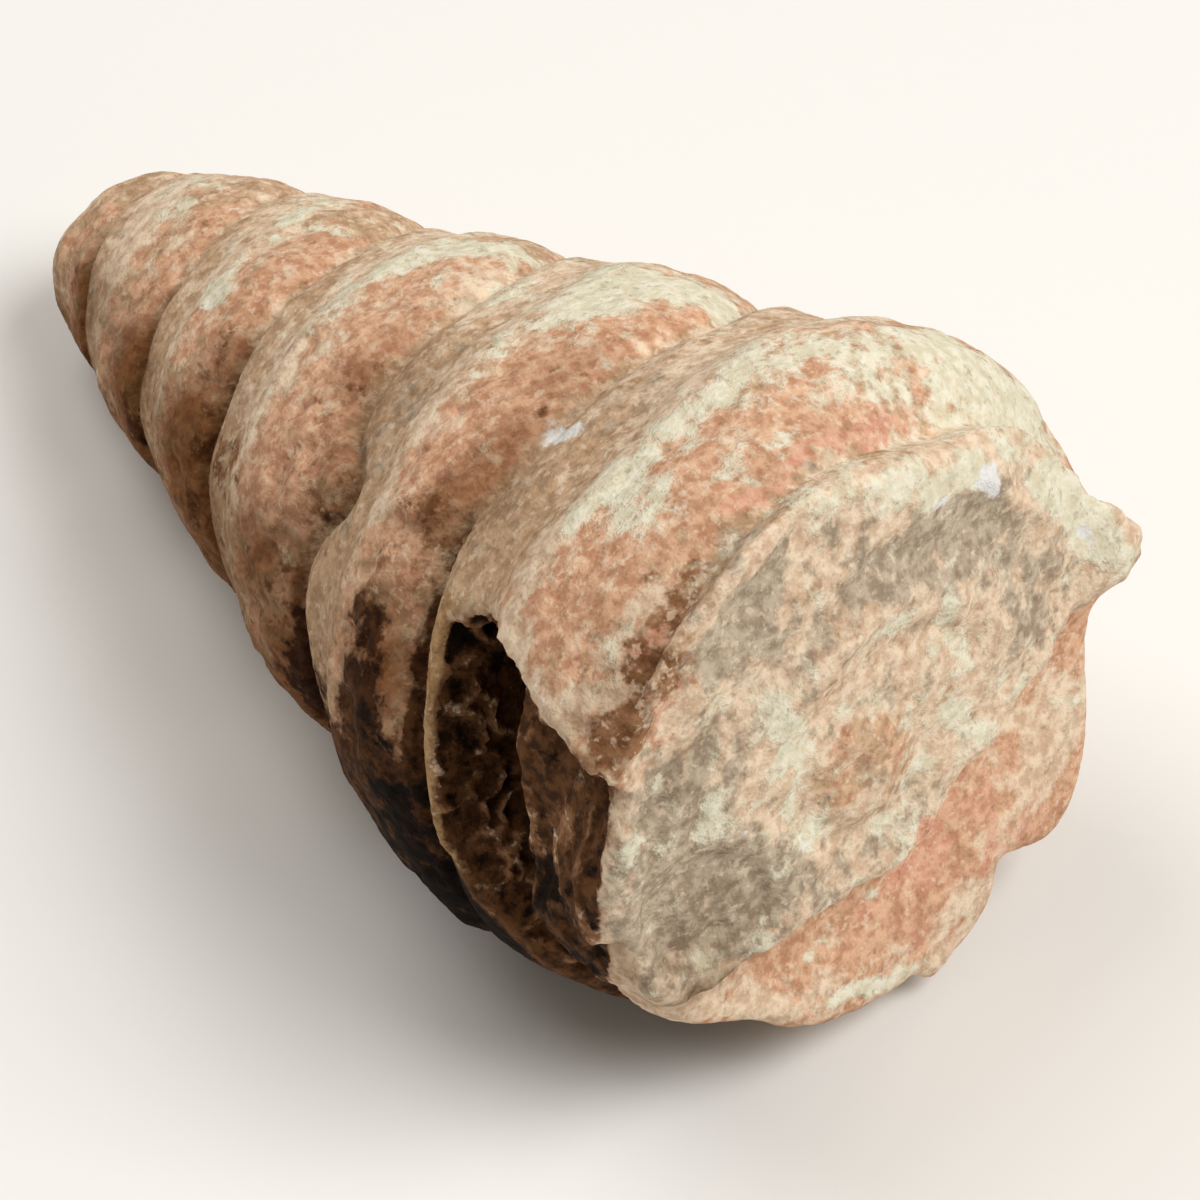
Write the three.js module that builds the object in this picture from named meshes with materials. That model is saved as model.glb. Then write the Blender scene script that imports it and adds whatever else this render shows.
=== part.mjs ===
// Fossil turret snail: a tall spiral shell turned to stone, broken across its
// wide end, lying on its side. One solid, because the fossil is one stone.
//
// Millimetres, +Z up. The tip points toward -X and the broken base toward +X.
// The origin is at the middle of the bounding box, on the surface it lies on.
//
// The shell is first described about its own axis: `x` runs along the axis
// toward the base, and `angle` goes round it in degrees, -180 to 180, from a
// datum line on the flank that faces -Y and up.

import * as THREE from 'three';
import { mergeVertices } from 'three/addons/utils/BufferGeometryUtils.js';

const { clamp, degToRad, euclideanModulo, radToDeg, smoothstep } = THREE.MathUtils;

// ---- Driving dimensions -------------------------------------------------

// Envelope that touches the crest of every whorl: radius at x = 0, its growth
// toward the base, and the slight bulge of the cone.
const CREST_RADIUS = 20;
const CONE_SLOPE = 0.189;
const CONE_BULGE = 0.00089;
// The fossil is pressed a little flat, from above.
const FLATTENING = 0.063;

// Coiling, right-handed: each whorl is wider than the one before it.
const WHORL_GROWTH = 1.149;
const WHORL_PITCH = 16.7;
const LAST_SUTURE_TURN = 0.584;

// Depth of the suture below the crests, as a share of the radius: worn near
// the tip, deep toward the base.
const RELIEF_AT_TIP = 0.04;
const RELIEF_GAIN = 0.058;

// Where the rounded tip begins, and how far it reaches past that.
const TIP_START = -56.0;
const TIP_LENGTH = 5.9;

// The broken base: where it crosses the axis, and how much it leans.
const BASE_X = 9.5;
const BASE_LEAN = 0.122;
const RIM_ROUNDING = 1.6;

// How the fossil lies: rise of its axis, turn of the datum line from the top,
// and how deep the worn flats under the whorls are.
const AXIS_RISE = 0.21;
const DATUM_FROM_TOP = 35.6;
const FLAT_DEPTH = 0.6;

// Where the sutures leave their even spiral: the place, how far the shift
// reaches along the axis and around it (degrees), and the shift toward the base.
const SUTURE_SHIFTS = [
  { x: -45.5, angle: -20, along: 4, around: 38, shift: 0.9 },
  { x: -18.5, angle: 15, along: 5, around: 11, shift: 3.2 },
  { x: -7.0, angle: 16, along: 4.5, around: 16, shift: -1.4 },
  { x: -12.5, angle: -88, along: 9, around: 20, shift: -2.0 },
  { x: -27.0, angle: -88, along: 9, around: 20, shift: -1.9 },
  { x: -38.0, angle: -88, along: 7, around: 20, shift: -0.8 },
  { x: 9.5, angle: 14, along: 4, around: 16, shift: 0.4 },
];

// Bumps and dents of the worn stone: the place, the reach, and the height.
const BUMPS = [
  { x: -3.0, angle: 84, along: 7, around: 14, height: 0.7 },
  { x: 9.0, angle: 110, along: 5, around: 15, height: -1.3 },
  { x: 8.0, angle: 177, along: 2.5, around: 6, height: -2.6 },
  { x: 8.0, angle: -170, along: 5, around: 8, height: 0.5 },
  { x: 7.5, angle: -148, along: 5, around: 12, height: -0.6 },
  { x: 8.5, angle: -121, along: 3.5, around: 10, height: 1.4 },
  { x: 4.6, angle: -104, along: 4, around: 14, height: -0.9 },
  { x: -36.0, angle: 66, along: 4, around: 14, height: -0.4 },
  { x: -57.0, angle: 48, along: 4, around: 28, height: -0.6 },
  { x: -53.5, angle: -58, along: 5, around: 28, height: 0.4 },
  { x: 8.9, angle: 148, along: 4, around: 6, height: 0.6 },
];

// Rings of the mesh: over the tip, along the flank, over the base, and the
// points in each ring.
const TIP_RINGS = 5;
const FLANK_RINGS = 21;
const BASE_RINGS = 32;
const RING_POINTS = 76;

// The points are found along rays from the axis, and these rays start here.
const TIP_CENTRE = -56;
const BASE_CENTRE = -7;
const RAY_LENGTH = 30;
const RAY_STEP = 0.5;

// ---- Small helpers ------------------------------------------------------

const rise = (from, to, value) => smoothstep(value, from, to);
const bell = (distance, width) => Math.exp(-((distance / width) ** 2));
const wrapDegrees = (angle) => euclideanModulo(angle + 180, 360) - 180;

// The smaller of two numbers, with a rounded corner where they meet.
function roundedMin(a, b, radius) {
  const share = clamp(0.5 + (0.5 * (b - a)) / radius, 0, 1);
  return b * (1 - share) + a * share - radius * share * (1 - share);
}

// ---- The coiled flank ---------------------------------------------------

function crestRadius(x, angle) {
  const pressed = 1 - FLATTENING * Math.cos(degToRad(2 * (angle + DATUM_FROM_TOP)));
  return (CREST_RADIUS + CONE_SLOPE * x - CONE_BULGE * x * x) * pressed;
}

// 1 at a place on the flank, fading to 0 around it.
function spot(x, angle, place) {
  const around = wrapDegrees(angle - place.angle);
  return bell(x - place.x, place.along) * bell(around, place.around);
}

// How far the sutures have left their even spiral: the last one is late on
// the far side.
function sutureDrift(x, angle) {
  const farSide = angle < 0 ? 1 - rise(-130, -65, angle) : rise(110, 175, angle);
  let drift = (2.8 * farSide - 0.25) * rise(-4, 7, x);
  for (const place of SUTURE_SHIFTS) {
    drift += place.shift * spot(x, angle, place);
  }
  return drift;
}

// Turns passed since the last suture: whole numbers are sutures.
function turnsAt(x, angle) {
  const growth = Math.log(WHORL_GROWTH);
  const along = x - sutureDrift(x, angle);
  const turns = Math.log(Math.max(1 + (along * growth) / WHORL_PITCH, 0.001)) / growth;
  return turns - angle / 360 - LAST_SUTURE_TURN;
}

// Height of one whorl, 0 in the sutures and about 1 on the crest: a low ramp,
// a shoulder with a faint cord on it, a full body, and a drop to the suture.
// The ramp is higher where the whorl is fuller.
function whorlProfile(share, fullness) {
  const start = 0.36 + 0.3 * fullness;
  const ramp = start * rise(0, 0.13, share) + (1 - start) * rise(0.25, 0.5, share);
  const drop = 1 - clamp((share - 0.6) / 0.4, 0, 1) ** 2.6;
  return ramp * drop + 0.07 * bell(share - 0.47, 0.07);
}

function wholeRadius(x, angle) {
  const relief = RELIEF_AT_TIP + RELIEF_GAIN * rise(-62, -30, x);
  const share = euclideanModulo(turnsAt(x, angle), 1);
  const fullness = rise(-130, -95, angle) * (1 - rise(-75, -40, angle));
  const upperSide = rise(-130, -95, angle) * (1 - rise(-60, -20, angle));
  const swelling = 0.035 * upperSide * bell(x, 4);
  const narrowing = 0.12 * (1 - rise(-65, -15, angle)) * rise(-165, -135, angle) * rise(2, 10, x);
  const scale = 1 - relief * (1 - whorlProfile(share, fullness)) + swelling - narrowing;
  return crestRadius(x, angle) * scale;
}

// Underneath, the last whorl is worn down to this radius.
function wornRadius(x, angle) {
  const reach = rise(45, 60, angle) * (1 - rise(150, 180, angle)) * rise(-8, -4.5, x);
  return 19.7 - 0.165 * (x + 5) + 40 * (1 - reach);
}

// Below its fracture edge the last whorl has lost its outer layer. What is
// left is a rough lobe, with a deep slot between it and the whorl before.
function hollowRadius(x, angle) {
  const slotWidth = 4.3 - 1.4 * rise(45, 66, angle);
  const slotFloor = 13.5 - 1.5 * rise(16, 24, angle) + 3.2 * rise(50, 72, angle);
  const ripple = 0.5 * Math.sin(0.11 * (angle - 20) + 0.5 * x);
  const lobe = 17.2 + 0.12 * (x - 3) + ripple + 0.9 * rise(55, 75, angle);
  const climb = rise(slotWidth - 2.2, slotWidth + 1.2, x - slotEdgeAt(angle));
  return slotFloor + (lobe - slotFloor) * climb;
}

function slotEdgeAt(angle) {
  return -4.6 + 0.06 * (angle - 18) + 3.8 * rise(52, 85, angle);
}

function fractureAngleAt(x) {
  return 15.8 + 0.93 * (x - 0.3) + 2.6 * Math.max(-1.5 - x, 0);
}

function hollowReach(x, angle) {
  const past = rise(-3, 8, angle - fractureAngleAt(x)) * (1 - rise(84, 100, angle));
  return past * rise(-1.4, 1.9, x - slotEdgeAt(angle));
}

function flankRadius(x, angle) {
  let worn = roundedMin(wholeRadius(x, angle), wornRadius(x, angle), 0.8);
  for (const place of BUMPS) {
    worn += place.height * spot(x, angle, place);
  }
  const hollow = Math.min(hollowRadius(x, angle), worn);
  return worn + (hollow - worn) * hollowReach(x, angle);
}

// ---- The rounded tip and the broken base --------------------------------

function tipRadius(x, angle) {
  const past = (TIP_START - x) / TIP_LENGTH;
  return crestRadius(TIP_START, angle) * Math.sqrt(Math.max(1 - past * past, 0));
}

// Distance beyond the step between the rough core and the smooth shelf.
// `near` is measured from the axis toward the datum line, and `low` at right
// angles to it, toward the ground.
function pastStep(near, low) {
  const line = -6 + 0.185 * Math.min(low - 4, 0) + 0.73 * Math.max(low - 4, 0);
  return (line - near) * (0.98 - 0.17 * rise(0, 8, low));
}

// Place of the broken face along the axis.
function baseFace(near, low) {
  const fromAxis = Math.hypot(near, low);
  const leaning = BASE_X + BASE_LEAN * near + 0.02 * low;
  const farEdge = 0.9 * rise(5, 14, 0.6 * low - 0.7 * near);
  const lip = 1.6 * (1 - rise(1.5, 5.5, Math.hypot(near + 9.7, low + 17.5)));
  // The rough core stands above the shelf, which rises again to the far edge.
  const step = pastStep(near, low);
  const core = 1.6 * (1 - rise(-0.8, 1.4, step)) * (1 - rise(8, 17, fromAxis));
  const shelf = 0.9 * rise(0, 1.8, step) * (1 - rise(3.5, 8, step));
  // The open end of the whorl, filled with grey stone.
  const fromChamber = Math.hypot((near - 5.3) / 5.2, (low - 11.3) / 4);
  const chamber = 0.8 * (1 - rise(0.7, 1.05, fromChamber));
  // The end of the central pillar, with a shallow ring round it.
  const fromPillar = Math.hypot((near - 1.5) / 1.3, low - 1);
  const pillar = 0.35 * (1 - rise(1.8, 3.4, fromPillar)) - 0.35 * bell(fromPillar - 3.9, 0.8);
  return leaning + farEdge + lip + core - shelf - chamber + pillar;
}

// ---- The solid ----------------------------------------------------------

// Above 0 inside the stone and below 0 outside it.
function depthInside(x, radius, angle) {
  let flank = flankRadius(x, angle) - radius;
  if (x < TIP_START) {
    flank = roundedMin(flank, tipRadius(x, angle) - radius, 0.6);
    flank -= 8 * Math.max((TIP_START - x) / TIP_LENGTH - 1, 0);
  }
  const turn = degToRad(angle);
  const face = baseFace(radius * Math.cos(turn), radius * Math.sin(turn)) - x;
  return roundedMin(flank, face, RIM_ROUNDING);
}

// The ray of one ring: where it leaves the axis, and its lean from the axis.
function ringRay(ring) {
  if (ring <= TIP_RINGS) {
    return { start: TIP_CENTRE, lean: Math.PI - ((Math.PI / 2) * ring) / TIP_RINGS };
  }
  const along = (ring - TIP_RINGS) / FLANK_RINGS;
  if (along <= 1) {
    return { start: TIP_CENTRE + (BASE_CENTRE - TIP_CENTRE) * along, lean: Math.PI / 2 };
  }
  const over = (ring - TIP_RINGS - FLANK_RINGS) / BASE_RINGS;
  return { start: BASE_CENTRE, lean: (Math.PI / 2) * (1 - over) };
}

// Follows a ray to where it first leaves the stone.
function surfacePoint(ring, angle) {
  const { start, lean } = ringRay(ring);
  const depthAt = (way) => depthInside(start + way * Math.cos(lean), way * Math.sin(lean), angle);
  let inside = 0;
  let outside = RAY_STEP;
  while (outside < RAY_LENGTH && depthAt(outside) > 0) {
    inside = outside;
    outside += RAY_STEP;
  }
  for (let halving = 0; halving < 24; halving += 1) {
    const middle = (inside + outside) / 2;
    if (depthAt(middle) > 0) {
      inside = middle;
    } else {
      outside = middle;
    }
  }
  return shellToPart(start + inside * Math.cos(lean), inside * Math.sin(lean), angle);
}

// From the shell's own axis to the lying fossil, before it is set down.
function shellToPart(x, radius, angle) {
  const fromTop = degToRad(angle + DATUM_FROM_TOP);
  const upward = radius * Math.cos(fromTop);
  return new THREE.Vector3(
    x * Math.cos(AXIS_RISE) - upward * Math.sin(AXIS_RISE),
    -radius * Math.sin(fromTop),
    x * Math.sin(AXIS_RISE) + upward * Math.cos(AXIS_RISE),
  );
}

// A sphere whose rings and points are moved onto the surface of the shell.
function shellGeometry() {
  const rings = TIP_RINGS + FLANK_RINGS + BASE_RINGS;
  const sphere = new THREE.SphereGeometry(1, RING_POINTS, rings);
  sphere.deleteAttribute('normal');
  sphere.deleteAttribute('uv');
  const geometry = mergeVertices(sphere);
  const position = geometry.getAttribute('position');
  for (let i = 0; i < position.count; i += 1) {
    const polar = Math.acos(clamp(position.getY(i), -1, 1));
    const ring = Math.round((polar / Math.PI) * rings);
    const angle = wrapDegrees(radToDeg(Math.atan2(position.getZ(i), position.getX(i))));
    const point = surfacePoint(ring, angle);
    position.setXYZ(i, point.x, point.y, point.z);
  }
  return geometry;
}

// Sets the fossil down: its lowest whorls are worn flat on the ground, and
// the origin comes under the middle of the box.
function setDown(geometry) {
  const position = geometry.getAttribute('position');
  geometry.computeBoundingBox();
  const ground = geometry.boundingBox.min.z + FLAT_DEPTH;
  for (let i = 0; i < position.count; i += 1) {
    position.setZ(i, Math.max(position.getZ(i) - ground, 0));
  }
  geometry.computeBoundingBox();
  const middle = geometry.boundingBox.getCenter(new THREE.Vector3());
  geometry.translate(-middle.x, -middle.y, 0);
  geometry.computeVertexNormals();
  return geometry;
}

const stone = new THREE.MeshStandardMaterial({ color: 0xb98f70, roughness: 0.9, metalness: 0 });

const shell = new THREE.Mesh(setDown(shellGeometry()), stone);
shell.name = 'turret_shell';

const fossil = new THREE.Group();
fossil.add(shell);

export default fossil;
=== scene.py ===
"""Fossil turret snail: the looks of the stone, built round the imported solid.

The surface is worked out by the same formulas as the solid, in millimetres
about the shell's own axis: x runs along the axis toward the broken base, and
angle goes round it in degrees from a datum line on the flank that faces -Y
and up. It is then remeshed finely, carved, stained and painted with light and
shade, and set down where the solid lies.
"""

import math

import bpy
import numpy as np
from mathutils import Matrix, Vector


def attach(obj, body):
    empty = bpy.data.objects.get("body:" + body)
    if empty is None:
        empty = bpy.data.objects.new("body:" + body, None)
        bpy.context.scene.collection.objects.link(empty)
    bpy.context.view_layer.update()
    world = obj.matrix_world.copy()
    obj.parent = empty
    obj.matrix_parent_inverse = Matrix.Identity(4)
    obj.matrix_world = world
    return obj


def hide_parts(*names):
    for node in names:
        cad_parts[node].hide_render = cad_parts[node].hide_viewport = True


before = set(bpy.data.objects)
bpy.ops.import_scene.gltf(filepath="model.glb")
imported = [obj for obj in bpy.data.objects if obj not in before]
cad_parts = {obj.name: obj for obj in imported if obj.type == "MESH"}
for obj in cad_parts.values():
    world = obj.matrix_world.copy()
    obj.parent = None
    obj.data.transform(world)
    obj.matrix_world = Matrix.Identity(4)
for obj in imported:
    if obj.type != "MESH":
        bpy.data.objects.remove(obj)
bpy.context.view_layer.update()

NODE = "turret_shell"
MM = 0.001

# ---- Driving dimensions, the same as the solid's --------------------------

CREST_RADIUS = 20.0
CONE_SLOPE = 0.189
CONE_BULGE = 0.00089
FLATTENING = 0.063
WHORL_GROWTH = 1.149
WHORL_PITCH = 16.7
LAST_SUTURE_TURN = 0.584
RELIEF_AT_TIP = 0.04
RELIEF_GAIN = 0.058
TIP_START = -56.0
TIP_LENGTH = 5.9
BASE_X = 9.5
BASE_LEAN = 0.122
RIM_ROUNDING = 1.3
AXIS_RISE = 0.21
DATUM_FROM_TOP = 35.6
FLAT_DEPTH = 0.6

# Where the sutures leave their even spiral: (x, angle), reach along the axis
# and around it in degrees, and the shift toward the base.
SUTURE_SHIFTS = [
    ((-45.5, -20), (4, 38), 0.9),
    ((-18.5, 15), (5, 11), 3.2),
    ((-7.0, 16), (4.5, 16), -1.4),
    ((-12.5, -88), (9, 20), -2.0),
    ((-27.0, -88), (9, 20), -1.9),
    ((-38.0, -88), (7, 20), -0.8),
    ((9.5, 14), (4, 16), 0.4),
]

# Bumps and dents of the worn stone: (x, angle), reach, and height.
BUMPS = [
    ((-3.0, 84), (7, 14), 0.7),
    ((9.0, 110), (5, 15), -1.3),
    ((8.0, 177), (2.5, 6), -2.6),
    ((8.0, -170), (5, 8), 0.5),
    ((7.5, -148), (5, 12), -0.6),
    ((8.5, -121), (3.5, 10), 1.4),
    ((4.6, -104), (4, 14), -0.9),
    ((-36.0, 66), (4, 14), -0.4),
    ((-57.0, 48), (4, 28), -0.6),
    ((-53.5, -58), (5, 28), 0.4),
    ((8.9, 148), (4, 6), 0.6),
]

# Rings and points of the first mesh, and the edge length it is remeshed to.
TIP_RINGS = 26
FLANK_RINGS = 130
BASE_RINGS = 150
RING_POINTS = 400
TIP_CENTRE = -56.0
BASE_CENTRE = -7.0
RAY_LENGTH = 30.0
RAY_STEP = 0.6
VOXEL = 0.34


# ---- Small helpers --------------------------------------------------------

def rise(start, end, value):
    """0 before start, 1 after end, and smooth between."""
    share = np.clip((value - start) / (end - start), 0, 1)
    return share * share * (3 - 2 * share)


def bell(distance, width):
    """1 at no distance, fading to 0 over about two widths."""
    return np.exp(-((distance / width) ** 2))


def wrap_degrees(angle):
    return (angle + 180) % 360 - 180


def rounded_min(a, b, radius):
    """The smaller of two values, with the corner between them rounded."""
    share = np.clip(0.5 + 0.5 * (b - a) / radius, 0, 1)
    return b * (1 - share) + a * share - radius * share * (1 - share)


# ---- The coiled flank -----------------------------------------------------

def crest_radius(x, angle):
    """Radius of the cone that the whorls' crests touch, pressed a little flat."""
    pressed = 1 - FLATTENING * np.cos(np.radians(2 * (angle + DATUM_FROM_TOP)))
    return (CREST_RADIUS + CONE_SLOPE * x - CONE_BULGE * x * x) * pressed


def spot(x, angle, centre, reach):
    """1 at a place on the flank, given as (x, angle), and fading to 0 around it."""
    around = wrap_degrees(angle - centre[1])
    return bell(x - centre[0], reach[0]) * bell(around, reach[1])


def suture_drift(x, angle):
    """How far a suture has drifted from its even spiral, along the axis."""
    far_side = np.where(angle < 0, 1 - rise(-130, -65, angle), rise(110, 175, angle))
    drift = (2.8 * far_side - 0.25) * rise(-4, 7, x)
    for centre, reach, shift in SUTURE_SHIFTS:
        drift = drift + shift * spot(x, angle, centre, reach)
    return drift


def turns_at(x, angle):
    """Turns passed since the last suture: whole numbers are sutures."""
    growth = math.log(WHORL_GROWTH)
    along = x - suture_drift(x, angle)
    turns = np.log(np.maximum(1 + along * growth / WHORL_PITCH, 0.001)) / growth
    return turns - angle / 360 - LAST_SUTURE_TURN


def whorl_profile(share, fullness):
    """Height of the relief from suture to suture: ramp, shoulder, body and drop."""
    start = 0.36 + 0.3 * fullness
    ramp = start * rise(0, 0.13, share) + (1 - start) * rise(0.25, 0.5, share)
    drop = 1 - np.clip((share - 0.6) / 0.4, 0, 1) ** 2.6
    return ramp * drop + 0.07 * bell(share - 0.47, 0.07)


def whole_radius(x, angle):
    relief = RELIEF_AT_TIP + RELIEF_GAIN * rise(-62, -30, x)
    share = turns_at(x, angle) % 1
    fullness = rise(-130, -95, angle) * (1 - rise(-75, -40, angle))
    swelling = 0.035 * rise(-130, -95, angle) * (1 - rise(-60, -20, angle)) * bell(x, 4)
    narrowing = 0.12 * (1 - rise(-65, -15, angle)) * rise(-165, -135, angle) * rise(2, 10, x)
    scale = 1 - relief * (1 - whorl_profile(share, fullness)) + swelling - narrowing
    return crest_radius(x, angle) * scale


def worn_radius(x, angle):
    """The limit that wear has set on the lower side of the last whorl, and none elsewhere."""
    reach = rise(45, 60, angle) * (1 - rise(150, 180, angle)) * rise(-8, -4.5, x)
    return 19.7 - 0.165 * (x + 5) + 40 * (1 - reach)


def slot_edge_at(angle):
    return -4.6 + 0.06 * (angle - 18) + 3.8 * rise(52, 85, angle)


def slot_width_at(angle):
    return 4.3 - 1.4 * rise(45, 66, angle)


def hollow_radius(x, angle):
    """Radius of the hollow's floor: the deep slot, then the climb to the lobe."""
    slot_width = slot_width_at(angle)
    slot_floor = 13.5 - 1.5 * rise(16, 24, angle) + 3.2 * rise(50, 72, angle)
    ripple = 0.5 * np.sin(0.11 * (angle - 20) + 0.5 * x)
    lobe = 17.2 + 0.12 * (x - 3) + ripple + 0.9 * rise(55, 75, angle)
    climb = rise(slot_width - 1.6, slot_width + 0.5, x - slot_edge_at(angle))
    past_fracture = angle - fracture_angle_at(x)
    trench = 1.3 * bell(past_fracture - 2.6, 1.8) * rise(-1, 1, x) * (1 - rise(6, 8, x))
    return slot_floor + (lobe - slot_floor) * climb - trench


def fracture_angle_at(x):
    return 15.8 + 0.93 * (x - 0.3) + 2.6 * np.maximum(-1.5 - x, 0)


def hollow_reach(x, angle):
    """1 where the hollow is open, 0 outside its edges."""
    past = rise(0, 1.4, angle - fracture_angle_at(x)) * (1 - rise(84, 100, angle))
    return past * rise(-0.35, 0.35, x - slot_edge_at(angle))


def bumps(x, angle):
    height = 0
    for centre, reach, rises_by in BUMPS:
        height = height + rises_by * spot(x, angle, centre, reach)
    return height


def unbroken_radius(x, angle):
    return rounded_min(whole_radius(x, angle), worn_radius(x, angle), 0.8) + bumps(x, angle)


def flank_radius(x, angle):
    worn = unbroken_radius(x, angle)
    hollow = np.minimum(hollow_radius(x, angle), worn)
    return worn + (hollow - worn) * hollow_reach(x, angle)


# ---- The rounded tip and the broken base ----------------------------------

def tip_radius(x, angle):
    past = (TIP_START - x) / TIP_LENGTH
    return crest_radius(TIP_START, angle) * np.sqrt(np.maximum(1 - past * past, 0))


def past_step(near, low):
    """Distance beyond the step between the rough core and the smooth shelf."""
    line = -6 + 0.185 * np.minimum(low - 4, 0) + 0.73 * np.maximum(low - 4, 0)
    return (line - near) * (0.98 - 0.17 * rise(0, 8, low))


def pillar_distance(near, low):
    """Distance from the end of the central pillar, which is wider than it is high."""
    return np.hypot((near - 1.5) / 1.3, low - 1.0)


def base_face(near, low):
    """How far along the axis the broken base reaches, at a place across it."""
    from_axis = np.hypot(near, low)
    leaning = BASE_X + BASE_LEAN * near + 0.02 * low
    far_edge = 0.9 * rise(5, 14, 0.6 * low - 0.7 * near)
    lip = 1.6 * (1 - rise(1.5, 5.5, np.hypot(near + 9.7, low + 17.5)))
    step = past_step(near, low)
    core = 1.6 * (1 - rise(-0.8, 1.4, step)) * (1 - rise(8, 17, from_axis))
    shelf = 0.9 * rise(0, 1.8, step) * (1 - rise(3.5, 8, step))
    chamber = 0.8 * (1 - rise(0.7, 1.05, np.hypot((near - 5.3) / 5.2, (low - 11.3) / 4.0)))
    from_pillar = pillar_distance(near, low)
    pillar = 0.35 * (1 - rise(1.8, 3.4, from_pillar)) - 0.35 * bell(from_pillar - 3.9, 0.8)
    return leaning + far_edge + lip + core - shelf - chamber + pillar


def depth_inside(x, radius, angle):
    """Positive inside the stone, zero on its surface and negative outside."""
    flank = flank_radius(x, angle) - radius
    past_tip = np.maximum((TIP_START - x) / TIP_LENGTH - 1, 0)
    tip = rounded_min(flank, tip_radius(x, angle) - radius, 0.6) - 8 * past_tip
    flank = np.where(x < TIP_START, tip, flank)
    turn = np.radians(angle)
    face = base_face(radius * np.cos(turn), radius * np.sin(turn)) - x
    return rounded_min(flank, face, RIM_ROUNDING)


# ---- From the shell's axis to the lying fossil ----------------------------

AXIS = np.array([math.cos(AXIS_RISE), 0, math.sin(AXIS_RISE)])
UPWARD = np.array([-math.sin(AXIS_RISE), 0, math.cos(AXIS_RISE)])
SIDEWAYS = np.array([0, -1.0, 0])


def shell_to_part(x, radius, angle):
    from_top = np.radians(angle + DATUM_FROM_TOP)
    up = radius * np.cos(from_top)
    side = radius * np.sin(from_top)
    return x[..., None] * AXIS + up[..., None] * UPWARD + side[..., None] * SIDEWAYS


def part_to_shell(points):
    x = points @ AXIS
    up = points @ UPWARD
    side = points @ SIDEWAYS
    angle = wrap_degrees(np.degrees(np.arctan2(side, up)) - DATUM_FROM_TOP)
    return x, np.hypot(up, side), angle


def ring_rays():
    """Where each ring's rays leave the axis, and how far they lean from it."""
    starts = []
    leans = []
    for ring in range(1, TIP_RINGS):
        starts.append(TIP_CENTRE)
        leans.append(math.pi - math.pi / 2 * ring / TIP_RINGS)
    for ring in range(FLANK_RINGS):
        starts.append(TIP_CENTRE + (BASE_CENTRE - TIP_CENTRE) * ring / FLANK_RINGS)
        leans.append(math.pi / 2)
    for ring in range(BASE_RINGS):
        starts.append(BASE_CENTRE)
        leans.append(math.pi / 2 * (1 - ring / BASE_RINGS))
    return np.array(starts)[:, None], np.array(leans)[:, None]


def smooth_surface():
    """Points of the bare shell, ring by ring, found along rays from its axis."""
    start, lean = ring_rays()
    angle = wrap_degrees(np.arange(RING_POINTS) * 360.0 / RING_POINTS)[None, :]
    along = np.cos(lean)
    out = np.sin(lean)
    inside = np.zeros((len(start), RING_POINTS))
    outside = np.full(inside.shape, RAY_LENGTH)
    found = np.zeros(inside.shape, bool)
    for way in np.arange(RAY_STEP, RAY_LENGTH, RAY_STEP):
        left = (depth_inside(start + way * along, way * out, angle) < 0) & ~found
        outside = np.where(left, way, outside)
        inside = np.where(left, way - RAY_STEP, inside)
        found |= left
        if found.all():
            break
    for _ in range(14):
        middle = (inside + outside) / 2
        within = depth_inside(start + middle * along, middle * out, angle) > 0
        inside = np.where(within, middle, inside)
        outside = np.where(within, outside, middle)
    x = start + inside * along
    return shell_to_part(x, inside * out, np.broadcast_to(angle, x.shape))


def ring_mesh(points):
    """Joins rings of points into one closed mesh, with a pole at each end."""
    rings, count = points.shape[:2]
    corner = np.arange(count)
    following = np.roll(corner, -1)
    faces = []
    for ring in range(rings - 1):
        here = ring * count
        there = here + count
        quads = np.stack([here + corner, here + following, there + following, there + corner], 1)
        faces.extend(quads.tolist())
    poles = np.array([points[0].mean(0), points[-1].mean(0)])
    first_pole = rings * count
    last = (rings - 1) * count
    faces.extend([first_pole, int(b), int(a)] for a, b in zip(corner, following))
    faces.extend([first_pole + 1, int(last + a), int(last + b)] for a, b in zip(corner, following))
    return np.vstack([points.reshape(-1, 3), poles]), faces


# ---- Fixed noise ----------------------------------------------------------

def cell_values(cells, seed):
    """A fixed random number from 0 to 1 for each cell of a grid of whole numbers."""
    code = cells[..., 0] * 73856093 ^ cells[..., 1] * 19349663 ^ cells[..., 2] * 83492791
    code = (code ^ seed * 40503) & 0xFFFFFFFF
    code = (code ^ code >> 13) * 1274126177 & 0xFFFFFFFF
    code = (code ^ code >> 15) * 2246822519 & 0xFFFFFFFF
    return ((code ^ code >> 16) & 0xFFFFFF) / 0xFFFFFF


def noise(points, size, seed):
    """Smooth random hills from -1 to 1, about size wide."""
    scaled = points / size
    cells = np.floor(scaled).astype(np.int64)
    share = scaled - cells
    share = share * share * (3 - 2 * share)
    total = np.zeros(len(points))
    for corner in np.ndindex(2, 2, 2):
        weight = np.prod(np.where(corner, share, 1 - share), axis=1)
        total += weight * cell_values(cells + np.array(corner), seed)
    return 2 * total - 1


def layered_noise(points, size, layers, seed):
    """Hills with smaller hills on them."""
    total = np.zeros(len(points))
    for layer in range(layers):
        total += noise(points, size / 2**layer, seed + layer) / 2**layer
    return total


def drawn_out_noise(across, along, level, layers, seed):
    """Layered noise on two coordinates of the shell, so that its hills follow them."""
    stretched = np.stack([across, along, np.full_like(across, level)], 1)
    return layered_noise(stretched, 1, layers, seed)


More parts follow.
